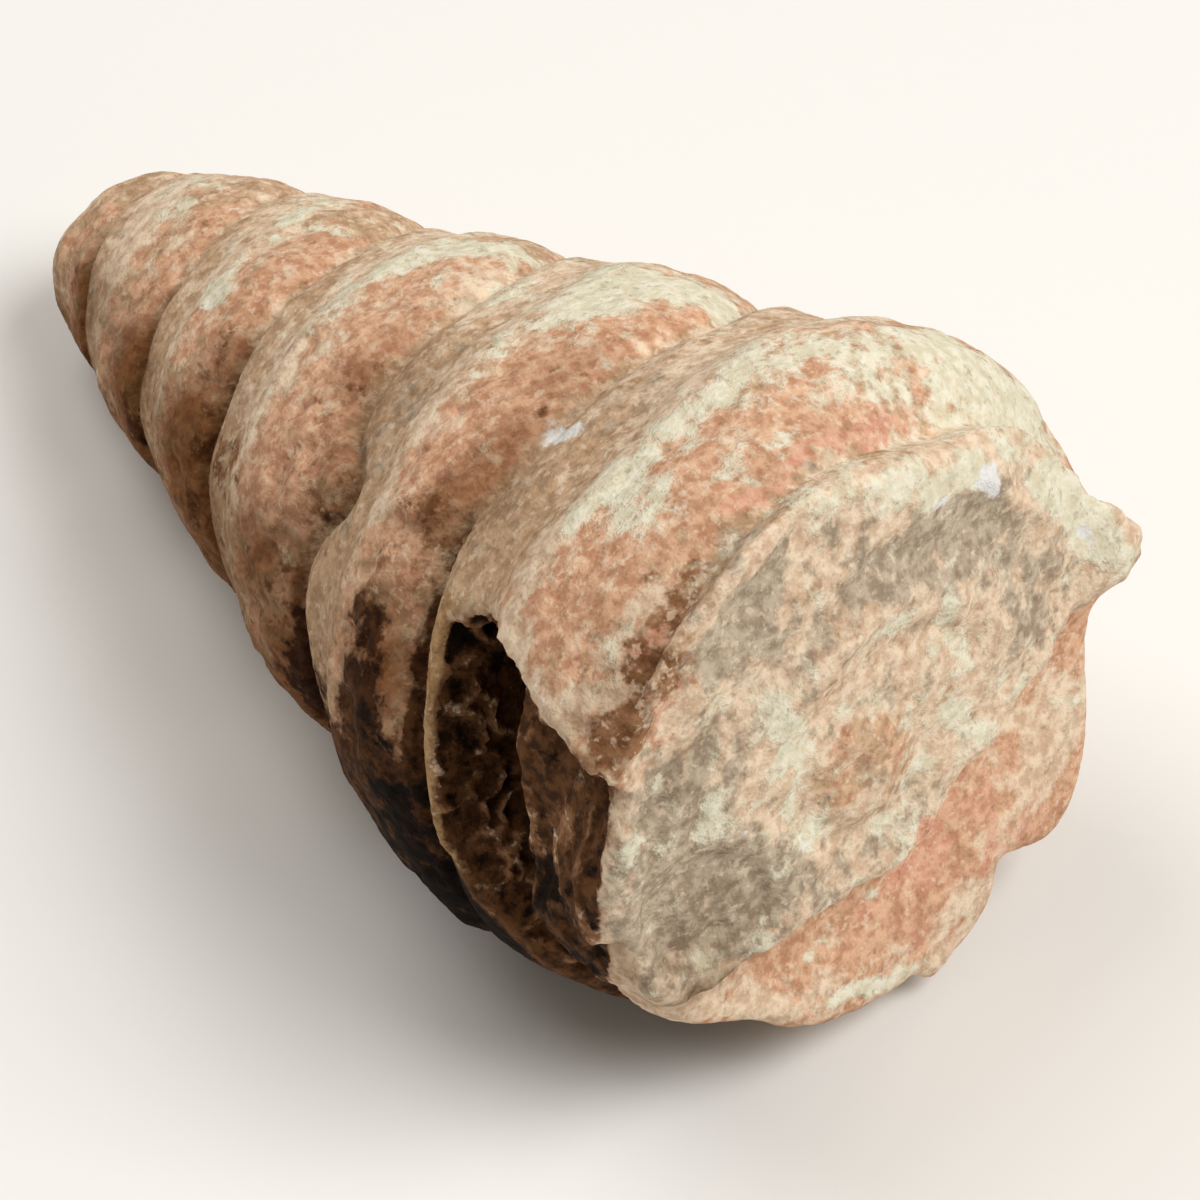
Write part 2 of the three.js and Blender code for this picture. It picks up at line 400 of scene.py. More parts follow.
def seed_distance(points, size, seed):
    """Distance, in cell sizes, to the nearest of the points strewn one to a cell."""
    scaled = points / size
    cells = np.floor(scaled).astype(np.int64)
    nearest = np.full(len(points), 9.0)
    for corner in np.ndindex(3, 3, 3):
        cell = cells + np.array(corner) - 1
        strewn = np.stack([cell_values(cell, seed + axis) for axis in range(3)], 1)
        nearest = np.minimum(nearest, np.linalg.norm(cell + strewn - scaled, axis=1))
    return nearest


# ---- The mesh -------------------------------------------------------------

def set_down_offset(points):
    """Moves the shell to the ground, sunk to its worn flats, under the middle of its box."""
    low = points.min(0)
    high = points.max(0)
    return np.array([-(low[0] + high[0]) / 2, -(low[1] + high[1]) / 2, -low[2] - FLAT_DEPTH])


def remeshed_object(name, points, faces):
    """A closed object whose faces are all about one voxel wide."""
    coarse = bpy.data.meshes.new(name + "_rings")
    coarse.from_pydata((points * MM).tolist(), [], faces)
    piece = bpy.data.objects.new(name, coarse)
    bpy.context.scene.collection.objects.link(piece)
    remesh = piece.modifiers.new("even_faces", "REMESH")
    remesh.mode = "VOXEL"
    remesh.voxel_size = VOXEL * MM
    evaluated = piece.evaluated_get(bpy.context.evaluated_depsgraph_get())
    fine = bpy.data.meshes.new_from_object(evaluated)
    piece.modifiers.remove(remesh)
    piece.data = fine
    bpy.data.meshes.remove(coarse)
    fine.name = name
    return piece


def read_points(mesh):
    flat = np.zeros(len(mesh.vertices) * 3)
    mesh.vertices.foreach_get("co", flat)
    return flat.reshape(-1, 3) / MM


def read_normals(mesh):
    flat = np.zeros(len(mesh.vertices) * 3)
    mesh.vertices.foreach_get("normal", flat)
    return flat.reshape(-1, 3)


def write_points(mesh, points):
    mesh.vertices.foreach_set("co", (points * MM).ravel())
    mesh.update()


class ShellPlaces:
    """Where each point of the surface is on the shell."""

    def __init__(self, points, offset):
        self.points = points
        self.x, self.radius, self.angle = part_to_shell(points - offset)
        self.near = self.radius * np.cos(np.radians(self.angle))
        self.low = self.radius * np.sin(np.radians(self.angle))
        self.share = turns_at(self.x, self.angle) % 1
        pitch = WHORL_PITCH + math.log(WHORL_GROWTH) * self.x
        self.from_suture = (self.share - np.round(self.share)) * pitch
        into_face = base_face(self.near, self.low) - self.x
        self.face = 1 - rise(0.3, 1.4, into_face)
        sunk = rise(0.15, 0.8, unbroken_radius(self.x, self.angle) - self.radius)
        near_hollow = rise(8, 12, self.angle) * (1 - rise(84, 100, self.angle)) * rise(-7, -6, self.x)
        hollow = sunk * near_hollow * (1 - self.face)
        past_slot = self.x - slot_edge_at(self.angle) - slot_width_at(self.angle)
        self.lobe = hollow * rise(-1.2, 0, past_slot)
        self.slot = hollow - self.lobe
        self.flank = (1 - self.face) * (1 - hollow)
        self.body = rise(0.42, 0.55, self.share) * (1 - rise(0.95, 1, self.share))


# ---- Relief ---------------------------------------------------------------

# Pits in the pink parts of the whorls: (x, angle), and radius.
PITS = [
    ((-22.0, 12), 0.9),
    ((-23.6, 20), 1.0),
    ((-20.2, 20), 0.7),
    ((-24.6, 7), 0.5),
    ((-21.8, 29), 0.7),
    ((-22.5, 36), 0.8),
    ((-35.2, 16), 0.6),
    ((-36.2, 44), 1.1),
    ((-8.8, 27), 0.8),
    ((-10.2, 33), 0.7),
    ((-9.6, 24), 0.6),
    ((-10.6, 44), 0.9),
    ((-25.5, -4), 0.4),
]

# Spacing of the comb's ridges and of the swirl's waves on the broken face.
COMB_SPACING = 0.66
SWIRL_SPACING = 5.4


def flank_relief(place):
    """Lumps, rough pitted bodies, threads along the ramps, suture cracks and the flake."""
    points = place.points
    lower_side = rise(-20, 30, place.angle)
    lumps = 0.28 * layered_noise(points, 7, 2, 11)
    rough = (0.05 + 0.11 * place.body) * layered_noise(points, 1.7, 3, 21)
    strewn = 1 - rise(0.15, 0.34, seed_distance(points, 2.4, 31))
    height = lumps + rough - 0.3 * strewn * place.body * (0.25 + 0.75 * lower_side)
    for centre, radius in PITS:
        across = (place.x - centre[0]) / radius
        around = np.radians(wrap_degrees(place.angle - centre[1])) * place.radius / radius
        height = height - 0.55 * radius * bell(np.hypot(across, around) + 0.3 * noise(points, 0.8, 51), 1)
    along_spiral = np.radians(place.angle) * place.radius
    threads = drawn_out_noise(place.from_suture / 0.55, along_spiral / 6, 3, 2, 61)
    height = height + 0.07 * (1 - place.body) * threads
    wandering = place.from_suture + 0.3 * noise(points, 3, 41)
    crack = 0.12 + 0.5 * rise(-15, 20, place.angle) * (1 - rise(120, 170, np.abs(place.angle)))
    height = height - crack * bell(wandering, 0.32)
    flake_edge = place.angle - 9 + 1.1 * (place.x + 10) + 3 * noise(points, 1.5, 71)
    on_flake = rise(-13, -11.5, place.x) * (1 - rise(-8, -7, place.x))
    return height + 0.45 * on_flake * rise(-14, 0, flake_edge) * (1 - rise(0, 1.5, flake_edge))


def face_relief(place):
    """The rough core with its swirl, crest, comb and groove, and the smoother shelf."""
    points = place.points
    from_axis = np.hypot(place.near, place.low)
    step = past_step(place.near, place.low)
    shelf = rise(0, 1.5, step)
    lumps = 0.36 * layered_noise(points, 4.5, 2, 81)
    rough = 0.2 * layered_noise(points, 1.6, 3, 91)
    around = np.radians(place.angle) * from_axis
    flow = 0.11 * drawn_out_noise(from_axis / 0.8, around / 5, 0, 2, 101) * rise(6, 10, from_axis)
    height = (lumps + rough + flow) * (1 - 0.65 * shelf)
    height = height + 0.12 * shelf * layered_noise(points, 6, 2, 111)
    swirl = rise(-125, -90, place.angle) * (1 - rise(5, 30, place.angle)) * rise(5, 8, from_axis)
    wave = np.cos(2 * math.pi * (from_axis - 10 + noise(points, 4, 118)) / SWIRL_SPACING)
    height = height + 0.3 * swirl * wave * (1 - shelf)
    height = height + 0.4 * bell(step + 1.1 + 0.5 * noise(points, 2.5, 115), 0.8)
    comb_across = 0.91 * (place.near - 14.6) + 0.41 * (place.low - 9)
    comb_along = -0.41 * place.near + 0.91 * place.low
    comb = bell(comb_across + 0.9, 1.3) * bell(comb_along - 2.8, 2.4)
    teeth = (comb_along + 0.25 * noise(points, 1.5, 121)) / COMB_SPACING
    height = height + 0.16 * comb * np.sin(2 * math.pi * teeth)
    groove_across = 0.8 * (place.near - 10.4) + 0.6 * (place.low - 8)
    groove_along = -0.6 * (place.near - 10.4) + 0.8 * (place.low - 8)
    return height - 0.5 * bell(groove_across, 0.5) * bell(groove_along, 2.6)


def slot_net(points):
    """Thin ridges between rounded cells, 1 on a ridge."""
    return bell(seed_distance(points, 2.2, 141) - 0.62, 0.09)


def lobe_ridges(place):
    """Rough ridges that run down the lobe."""
    across = (place.x - 1.5 - 0.04 * place.angle) / 1.1
    down = np.radians(place.angle) * place.radius / 4.5
    return drawn_out_noise(across, down, 7, 3, 145)


def hollow_relief(place):
    """Rough stone in the hollow, with the lobe's ridges and the slot's net of ridges."""
    points = place.points
    rough = 0.35 * layered_noise(points, 2.6, 3, 131)
    ridges = 0.35 * lobe_ridges(place) * place.lobe
    return rough * (place.lobe + 0.6 * place.slot) + ridges + 0.7 * slot_net(points) * place.slot


def carved_height(place):
    height = place.flank * flank_relief(place) + place.face * face_relief(place)
    return height + hollow_relief(place)


# ---- Stains, with painted light and shade ---------------------------------

# On the flank: (x, angle), reach in mm and in degrees, and strength.
FLANK_STAINS = {
    "rust": [
        ((-11.0, -40), (2.2, 22), 0.9),
        ((-10.0, -5), (2.2, 14), 0.8),
        ((3.5, 0), (2.8, 18), 0.9),
        ((2.5, 10), (2.0, 8), 0.8),
        ((5.0, -35), (2.5, 14), 0.7),
        ((-25.5, -40), (1.8, 18), 0.6),
        ((-25.0, -15), (2.2, 14), 0.6),
        ((-24.0, 15), (3.0, 14), 0.7),
        ((-36.5, -30), (1.5, 16), 0.9),
        ((-36.5, -5), (1.5, 12), 0.8),
        ((-47.2, -30), (0.9, 14), 0.9),
        ((-46.5, 0), (1.0, 12), 0.5),
        ((-46.0, 22), (1.0, 8), 0.5),
        ((9.5, 10), (2.0, 12), 0.6),
    ],
    "red": [
        ((6.6, -56), (1.0, 14), 0.9),
        ((7.3, -36), (1.0, 12), 0.8),
        ((8.0, -20), (1.2, 10), 0.6),
        ((3.5, -42), (1.5, 6), 0.5),
        ((10.0, 4), (0.9, 8), 0.8),
        ((-10.5, -55), (1.0, 8), 0.5),
        ((-47.2, -38), (0.7, 8), 0.5),
    ],
    "chalk": [
        ((-15.5, -55), (2.2, 14), 0.9),
        ((-13.0, -68), (2.5, 9), 1.1),
        ((-15.0, -35), (1.2, 12), 0.4),
        ((-14.0, -20), (1.0, 8), 0.3),
        ((1.2, -50), (2.2, 16), 0.45),
        ((3.0, -77), (3.5, 10), 0.9),
        ((5.5, -92), (3.4, 16), 1.1),
        ((0.9, -28), (1.6, 12), 0.5),
        ((1.2, -8), (1.2, 10), 0.5),
        ((4.5, -57), (3.0, 8), 0.4),
        ((3.9, -11), (2.2, 7), 0.85),
        ((6.2, -27), (2.0, 9), 0.3),
        ((8.8, -1), (0.9, 4), 0.35),
        ((8.8, 6), (0.9, 4), 0.35),
        ((9.4, 15), (0.8, 4), 0.35),
        ((-28.5, -45), (1.8, 14), 0.7),
        ((-27.0, -60), (2.0, 10), 0.6),
        ((-29.5, -20), (1.0, 14), 0.5),
        ((-42.0, -42), (1.5, 6), 0.5),
        ((-40.0, -32), (1.2, 5), 0.4),
        ((-38.5, -50), (1.2, 5), 0.5),
        ((-39.3, -5), (1.4, 8), 1.0),
        ((-50.0, -32), (1.0, 8), 0.3),
        ((-22.0, -47), (2.2, 9), 0.7),
        ((-13.5, -46), (2.0, 9), 0.7),
        ((-23.0, -68), (2.5, 6), 0.5),
        ((8.5, -60), (2.5, 20), 0.3),
        ((10.0, -30), (1.5, 14), 0.5),
    ],
    "white": [
        ((-7.2, -15.5), (1.6, 4.0), 1.4),
    ],
    "ash": [
        ((-4.5, -30), (2.5, 9), 0.3),
        ((-3.0, -42), (2.0, 8), 0.2),
        ((-18.5, -8), (1.8, 12), 0.3),
        ((-19.0, 5), (2.0, 6), 0.3),
        ((-31.0, 0), (2.0, 16), 0.2),
        ((-44.0, -20), (2.0, 14), 0.2),
        ((9.8, -15), (1.2, 12), 0.5),
    ],
    "ochre": [
        ((-5.0, 0), (2.5, 14), 0.3),
        ((-19.0, 10), (2.5, 14), 0.4),
        ((-31.0, 14), (2.0, 16), 0.4),
        ((-42.0, 16), (2.0, 16), 0.4),
        ((-52.0, 5), (3.0, 30), 0.3),
    ],
    # Soil: dark brown dirt in pits and cracks, and painted shade on the lower side of the last whorls.
    "soil_and_shade": [
        ((-10.5, 27), (1.8, 6), 0.7),
        ((-10.0, 45), (2.0, 10), 0.6),
        ((-7.5, 56), (3.0, 10), 0.9),
        ((-23.5, 50), (2.0, 12), 0.4),
        ((-20.0, 62), (2.0, 12), 0.6),
        ((-20.0, 22), (1.2, 5), 0.3),
        ((-36.5, 40), (1.0, 20), 0.5),
        ((-57.0, 20), (1.5, 14), 0.3),
        ((-45.5, 50), (2.5, 10), 0.3),
        ((-8.0, 10), (1.5, 4), 0.5),
        ((-9.0, 34), (3.0, 8), 0.3),
        ((-8.7, 27), (1.2, 5), 0.5),
        ((-9.3, 38), (1.6, 6), 0.6),
        ((-25.0, 38), (2.0, 8), 0.5),
        ((-38.3, 40), (1.6, 8), 0.3),
    ],
    "buff": [
        ((8.8, -1), (1.0, 4), 0.5),
        ((8.8, 6), (1.0, 4), 0.5),
        ((9.4, 15), (0.9, 4), 0.5),
        ((3.9, -11), (2.4, 7), 0.5),
        ((-27.5, -4), (1.5, 14), 0.4),
        ((-4.0, -44), (2.5, 12), 0.4),
        ((-22.0, -46), (2.6, 11), 0.8),
        ((0.7, 0), (1.2, 7), 0.5),
        ((-12.7, 10), (1.2, 6), 0.5),
        ((-50.0, -10), (5.0, 12), 0.4),
        ((9.2, 18), (1.2, 4), 0.6),
    ],
    "umber": [
        ((-11.0, 8), (3.5, 12), 0.4),
        ((-9.5, -28), (2.0, 18), 0.15),
        ((-24.0, 12), (3.5, 12), 0.2),
        ((-36.0, 12), (3.0, 12), 0.25),
        ((11.0, 11), (1.1, 6), 0.7),
        ((10.9, 20), (1.2, 4), 0.9),
        ((10.4, -2), (1.0, 8), 0.4),
        ((-30.0, 28), (3.0, 10), 0.5),
        ((-19.0, 20), (2.0, 10), 0.1),
    ],
    # The darkening film on the flank: partly grime, partly painted shade on the lower side and along the
    # sutures.
    "grime_and_shade": [
        ((-9.0, -6), (1.6, 12), 0.4),
        ((-8.6, 7), (1.8, 7), 0.35),
        ((-34.9, 9), (1.6, 14), 0.4),
        ((-22.5, -6), (2.6, 16), 0.35),
        ((-51.0, 20), (4.0, 14), 0.25),
        ((-9.0, 32), (2.5, 10), 0.45),
        ((-25.0, 38), (3.0, 10), 0.4),
        ((7.7, 4), (1.3, 4), 0.25),
        ((10.4, 10), (1.3, 9), 0.2),
        ((-19.4, 13), (2.0, 8), 0.25),
        ((-10.5, -30), (3.0, 16), 0.2),
        ((-4.5, -30), (2.5, 14), 0.35),
        ((-19.0, -10), (2.0, 14), 0.3),
        ((-38.0, 40), (3.0, 12), 0.3),
        ((-35.8, 36), (1.8, 14), 0.9),
        ((-31.5, 42), (2.5, 12), 0.3),
        ((-44.5, 36), (3.0, 14), 0.6),
        ((-54.0, 36), (3.0, 16), 0.4),
        ((-24.5, 40), (2.5, 10), 0.15),
        ((-5.0, 0), (2.5, 12), 0.35),
        ((10.0, 55), (1.5, 6), 0.4),
    ],
    # Soot: near black, painted shade low on the last whorl, and dark in a pit.
    "soot_and_shade": [
        ((-8.5, 44), (1.5, 5), 0.6),
        ((-3.0, 74), (5.0, 10), 0.5),
        ((-7.5, 55), (2.0, 8), 0.6),
        ((-8.7, 29), (0.8, 3), 0.7),
    ],
}

# On the base: (near, low), the two reaches, their lean in degrees, and strength.
FACE_STAINS = {
    "rust": [
        ((6.5, 0), (2.2, 2.6), 0, 0.5),
        ((7.5, -6.5), (1.3, 2.2), 30, 0.6),
        ((17, 4), (2.5, 3), 0, 0.6),
        ((16.5, -0.5), (2, 2), 0, 0.4),
        ((-1, -6.5), (2.5, 1.6), 0, 0.5),
        ((-9, -10), (3, 1.5), -15, 0.4),
    ],
    "red": [
        ((-9.5, 3.5), (2.6, 1.8), 0, 0.9),
        ((-6.4, 1.9), (1.8, 1.6), 0, 1.4),
        ((-13.5, -2), (4, 3.5), 0, 0.3),
        ((7, -6), (0.9, 1.4), 0, 0.3),
        ((-0.5, -6), (1.5, 1), 0, 0.4),
    ],
    "ash": [
        ((4, -12.5), (3.2, 2.2), 20, 0.8),
        ((8, -9.3), (3, 1.9), 35, 0.7),
        ((10.6, -5.6), (2, 3), 20, 0.45),
        ((12.6, -2), (2, 2.2), 0, 0.3),
        ((16.3, -2), (2, 4.5), 0, 0.8),
        ((-2, -13), (4.5, 1.5), 5, 0.5),
        ((-4.5, -10.3), (3.4, 1.6), -10, 0.5),
        ((6.5, 10.8), (5, 3.8), 0, 0.9),
        ((8, 14), (3, 2.5), 0, 0.5),
        ((2.5, 9.5), (2.2, 3), 0, 0.6),
        ((13, 7), (2.4, 3.2), 0, 0.9),
        ((-6.5, 12.3), (2, 1.5), 0, 0.5),
        ((-3.8, 3.6), (1.6, 2.6), -20, 0.4),
        ((-2.5, 9), (2.4, 2.5), 0, 0.5),
    ],
    "chalk": [
        ((10.1, 1.4), (2.2, 1.1), -30, 0.8),
        ((5.1, 4), (0.8, 1.5), 0, 0.5),
        ((2.5, 5.9), (1, 0.8), 0, 0.7),
        ((7.8, 3.6), (0.8, 2.4), 0, 0.5),
        ((11.6, 0.8), (1.5, 1.5), 0, 0.4),
        ((14.6, 2.5), (1.2, 1.6), 0, 0.4),
        ((6.3, -5.6), (1.6, 1.4), 0, 0.5),
        ((0.5, -7), (2.4, 1.6), 0, 0.5),
        ((-2.5, 1.5), (1.4, 1.6), 0, 0.3),
        ((-9, 6.5), (1.2, 0.7), 0, 0.7),
        ((-7, 10), (0.8, 2.6), -35, 0.7),
        ((-16.5, 4.7), (1, 1), 0, 0.7),
        ((-14.5, 7), (1.2, 0.8), 0, 0.8),
        ((-13.3, 9.9), (2.4, 0.8), 35, 0.9),
        ((-10.1, 11.8), (2.5, 0.8), 25, 0.7),
        ((-15.4, -8), (2.4, 1.6), -20, 0.9),
        ((-5, -7), (1.2, 1.2), 0, 0.5),
        ((-3, -4.3), (3.5, 0.9), 0, 0.7),
        ((3, -9), (1.6, 1), 20, 0.4),
        ((12, -12), (2.4, 1.4), 40, 0.7),
        ((8, -14), (3.4, 1.4), 20, 0.6),
        ((0, -17), (5, 1), 0, 0.8),
        ((-8, -15.7), (2.5, 1.5), 0, 0.4),
        ((-4.5, 15.5), (3, 1.2), 0, 0.5),
        ((-5, -16.5), (3.4, 1.2), 0, 0.8),
        ((15, -7.5), (1.2, 4), 25, 0.3),
        ((9.3, 7.5), (0.6, 2.4), 35, 0.7),
        ((14, 10), (0.9, 1.6), 25, 0.5),
    ],
    "buff": [
        ((-13.6, -7), (2.4, 2.6), 0, 0.9),
        ((-13.8, 9.6), (2, 1.5), 0, 0.5),
        ((-9.5, 12.2), (3, 1.2), 20, 0.5),
        ((-16.5, 5), (2.2, 3.5), 0, 1.0),
        ((-8.7, -16.5), (3, 2), 0, 0.8),
        ((-4.5, 15), (3, 1.5), 0, 0.9),
        ((-15.5, -5), (1.5, 5), 0, 0.7),
        ((7.8, 3.6), (1.5, 3), 0, 0.4),
        ((-11.1, -3.9), (2.5, 2.5), 0, 0.2),
        ((19.3, 4), (1.5, 3.5), 0, -0.8),
        ((19, 7), (1.6, 1.6), 0, -0.9),
        ((5, 12), (4.5, 3.5), 0, -0.7),
    ],
    "white": [
        ((5.3, -14.3), (1.4, 1.1), 0, 1.6),
        ((7.7, -13.0), (0.7, 0.6), 0, 1.2),
        ((10.6, -12.9), (0.7, 0.5), 0, 1.0),
        ((-5.8, -16.1), (0.9, 0.7), 0, 1.2),
        ((2.5, 5.9), (0.6, 0.5), 0, 0.8),
        ((8.1, 5.7), (0.5, 0.5), 0, 1.1),
        ((7.0, 6.7), (0.45, 0.45), 0, 1.1),
        ((12.6, 10.8), (0.5, 0.5), 0, 1.1),
        ((11.0, 11.5), (0.4, 0.4), 0, 0.9),
    ],
    "umber": [
        ((0, 15), (3, 0.8), 0, 0.7),
        ((-6, 13), (1.2, 0.8), 0, 0.5),
        ((2.6, 7.6), (1.6, 0.7), 0, 0.5),
        ((17.2, -1), (1.6, 3.2), 0, 0.6),
        ((5, 11.5), (4.5, 3.5), 0, 0.6),
        ((19.3, 4), (1.3, 3.5), 0, 0.7),
        ((19, 7), (1.6, 1.6), 0, 1.2),
        ((8, 14), (3, 2.5), 0, 0.5),
    ],
    # The darkening film on the face: partly grime, partly painted shade in and around the sunk chamber and
    # at the face's outer edge.
    "grime_and_shade": [
        ((2, 14), (4, 3), 0, 0.45),
        ((13.8, 6.5), (2, 3), 0, 0.45),
        ((4, 10.5), (3, 2.5), 0, 0.2),
        ((19, 7), (1.6, 1.6), 0, 0.3),
        ((19.3, 4), (1.4, 3.5), 0, 0.1),
    ],
}
# Besides real stains, soil, soot, umber and the film of grime also carry painted shade, and buff, chalk
# and rust carry painted light on the upper side.
PIGMENTS = ("rust", "umber", "buff", "ash", "ochre", "chalk", "red", "white", "soil_and_shade", "soot_and_shade")
STAINS = (*PIGMENTS, "grime_and_shade")
# How far each stain starts below its even strength, and what the worn rim adds to it.
SCARCITY = {"umber": -0.1, "ochre": -0.25, "red": -0.3, "white": -0.4, "soil_and_shade": -0.3, "soot_and_shade": -0.35}
WORN_RIM_STAINS = {"buff": 0.9, "soil_and_shade": -1.5, "soot_and_shade": -1.5}
# Millimetres that the outlines of the single stains wander, on the flank and on the face.
FLANK_WANDER = 0.7
FACE_WANDER = 0.6


def face_spot(near, low, centre, reach, lean):
    """1 at a place on the face, given as (near, low), and fading to 0 around it."""
    turn = math.radians(lean)
    across = (near - centre[0]) * math.cos(turn) + (low - centre[1]) * math.sin(turn)
    along = (low - centre[1]) * math.cos(turn) - (near - centre[0]) * math.sin(turn)
    return bell(np.hypot(across / reach[0], along / reach[1]), 1)


def whorl_stains(place):
    """The stains that follow the whorls and the edges of the damage, on the flank, with painted shade low
    down and toward each suture, and painted light on the upper side.
    """
    x = place.x
    angle = place.angle
    body = place.body
    last_whorls = rise(-20, -10, x)
    tip_whorls = 1 - rise(-26, -20, x)
    # Painted shade: the lower side, the underside, the band under the last whorls and the drop toward each
    # suture get more umber, soil, soot and film, and less buff.
    lower_side = rise(0, 45, angle) * (1 - rise(120, 170, angle))
    shaded_underside = rise(38, 70, angle) * (1 - rise(110, 160, angle))
    shade_under_last_whorls = bell(angle - 78, 30) * rise(-24, -14, x)
    # Painted light: the upper side gets more buff and chalk and, on the tip whorls, less rust, so that it
    # shows lighter.
    lit_upper_side = 1 - rise(-60, 10, angle)
    far_side = 1 - rise(-130, -100, angle) + rise(95, 130, angle)
    ridge = bell(place.share - 0.45, 0.1) + 0.7 * tip_whorls * bell(place.share - 0.3, 0.14)
    shade_toward_suture = rise(0.6, 0.95, place.share) * rise(-80, -10, angle)
    crack = bell(place.from_suture, 0.7) * rise(-5, 25, angle) * (1 - rise(90, 140, angle))
    fracture_rim = bell(angle - fracture_angle_at(x) + 2.5, 2.5)
    fracture_rim = fracture_rim * rise(0.5, 2, x) * (1 - rise(9, 10.2, x))
    beside_face = bell(x - 9.8, 1.3) * rise(-20, -8, angle) * (1 - rise(11, 17, angle))
    above_slot = slot_edge_at(angle) - x
    tan_band = rise(-0.3, 0.1, above_slot) * (1 - rise(1.3, 1.8, above_slot))
    tan_band = tan_band * rise(13, 20, angle) * (1 - 0.35 * rise(45, 75, angle))
    tan_band = tan_band * (1 - rise(80, 95, angle))
    band_crack = bell(above_slot - 2.3, 0.4) * rise(13, 20, angle) * (1 - rise(60, 85, angle))
    return {
        "rust": body * (0.55 + 0.2 * far_side - 0.2 * tip_whorls * lit_upper_side),
        "umber": 0.25 * lower_side + 0.2 * shade_toward_suture + 0.4 * beside_face,
        "buff": 0.15 + 0.2 * lit_upper_side * (2 - body) + 0.4 * ridge - 0.3 * lower_side + 0.7 * fracture_rim,
        "ash": 0.1 * (1 - body),
        "ochre": 1.5 * tan_band,
        "chalk": (0.1 + 0.2 * lit_upper_side) * ridge + 0.15 * fracture_rim + 0.08 * lit_upper_side,
        "soil_and_shade": (0.3 + 0.5 * last_whorls) * shaded_underside + (0.4 + 0.2 * last_whorls) * crack
                + 1.1 * shade_under_last_whorls - 0.9 * tan_band + 0.7 * band_crack,
        "soot_and_shade": 0.2 * crack + 0.9 * shade_under_last_whorls - 0.9 * tan_band + 0.3 * band_crack,
        "grime_and_shade": 0.3 * lower_side + 0.25 * shade_toward_suture - 0.4 * tan_band
                 + 0.45 * (1 - last_whorls) * (shaded_underside + 0.5 * crack),
    }


def hollow_stains(place):
    """The colours of the hollow's slot, of the net of ridges in it, and of its lobe: brown stone under
    painted shade.
    """
    shaded_slot_top = 1 - rise(22, 32, place.angle)
    slot_side = 1 - rise(0.8, 2.4, place.x - slot_edge_at(place.angle))
    shaded_lobe_bottom = rise(40, 60, place.angle)
    net = slot_net(place.points) * place.slot
    ridges = lobe_ridges(place)
    lobe_crest = rise(0, 0.7, ridges) * place.lobe
    shade_in_lobe_cracks = rise(0.1, 0.8, -ridges) * place.lobe
    # Painted shade: soil and soot darken the slot and the lobe, most at the slot's top, low on the lobe
    # and in the lobe's cracks, and least on the net's ridges, beside the slot's edge and on the lobe's
    # crests.
    return {
        "umber": 1.4 * (place.lobe + place.slot),
        "ochre": 0.35 * lobe_crest,
        "soil_and_shade": (1.3 - 0.15 * slot_side) * place.slot - 0.5 * net + 1.15 * place.lobe - 0.35 * lobe_crest,
        "soot_and_shade": (0.95 + 0.5 * shaded_slot_top - 0.2 * slot_side) * place.slot - 0.7 * net
                + (0.4 + 0.6 * shaded_lobe_bottom) * place.lobe - 0.25 * lobe_crest + 0.4 * shade_in_lobe_cracks,
    }


def face_stains(place):
    """The stains of the broken face: its core, step, shelf and the pillar's end, with painted shadow along
    the step.
    """
    step = past_step(place.near, place.low)
    shelf = rise(0.5, 1.6, step)
    red_shelf = shelf * rise(-7, 0, place.low) * (1 - rise(8, 12, place.low))
    crest = bell(step + 0.9, 0.9) * rise(-16, -12, place.low)
    # Painted shadow: just past the step, umber and the film darken the face.
    groove = bell(step - 0.3, 0.7)
    from_pillar = pillar_distance(place.near, place.low)
    pillar = 1 - rise(2.6, 3.8, from_pillar)
    pillar_rim = bell(from_pillar - 4.0, 0.8)
    return {
        "rust": 0.2 + 0.7 * shelf + 0.25 * pillar,
        "umber": 0.35 * groove + 0.1 * pillar,
        "buff": 0.8 + 0.1 * pillar_rim - 0.6 * shelf - 0.5 * pillar,
        "ash": 0.22 - 0.4 * shelf,
        "chalk": 0.12 + 0.3 * crest + 0.25 * pillar_rim - 0.3 * shelf,
        "red": 0.55 * red_shelf + 0.1 * pillar,
        "grime_and_shade": 0.3 * groove,
    }


def worn_rim(place):
    """1 on the rubbed pale rim between the hollow's lower part and the broken face."""
    rim = rise(0, 1.2, place.x - 9.2 + 0.14 * (place.angle - 56))
    return rim * rise(52, 60, place.angle) * (1 - rise(90, 100, place.angle))


def everywhere_stains(place):
    """How strong each stain is before those of single places are added."""
    on_flank = whorl_stains(place)
    in_hollow = hollow_stains(place)
    on_face = face_stains(place)
    on_rim = worn_rim(place)
    strengths = {}
    for stain in STAINS:
        strength = SCARCITY.get(stain, 0) + place.flank * on_flank.get(stain, 0)
        strength = strength + in_hollow.get(stain, 0) + place.face * on_face.get(stain, 0)
        strengths[stain] = strength + on_rim * WORN_RIM_STAINS.get(stain, 0)
    return strengths


def stain_strengths(place):
    """How strong each stain is at each point, with wandering outlines."""
    points = place.points
    drift, cross_drift = [layered_noise(points, 4, 3, seed) for seed in (151, 161)]
    x = place.x + FLANK_WANDER * drift
    angle = place.angle + np.degrees(FLANK_WANDER * cross_drift / np.maximum(place.radius, 4))
    near = place.near + FACE_WANDER * drift
    low = place.low + FACE_WANDER * cross_drift
    strengths = everywhere_stains(place)
    for stain in STAINS:
        on_flank = sum(strength * spot(x, angle, centre, reach)
                       for centre, reach, strength in FLANK_STAINS.get(stain, []))
        on_face = sum(strength * face_spot(near, low, centre, reach, lean)
                      for centre, reach, lean, strength in FACE_STAINS.get(stain, []))
        strengths[stain] = strengths[stain] + place.flank * on_flank + place.face * on_face
    return strengths


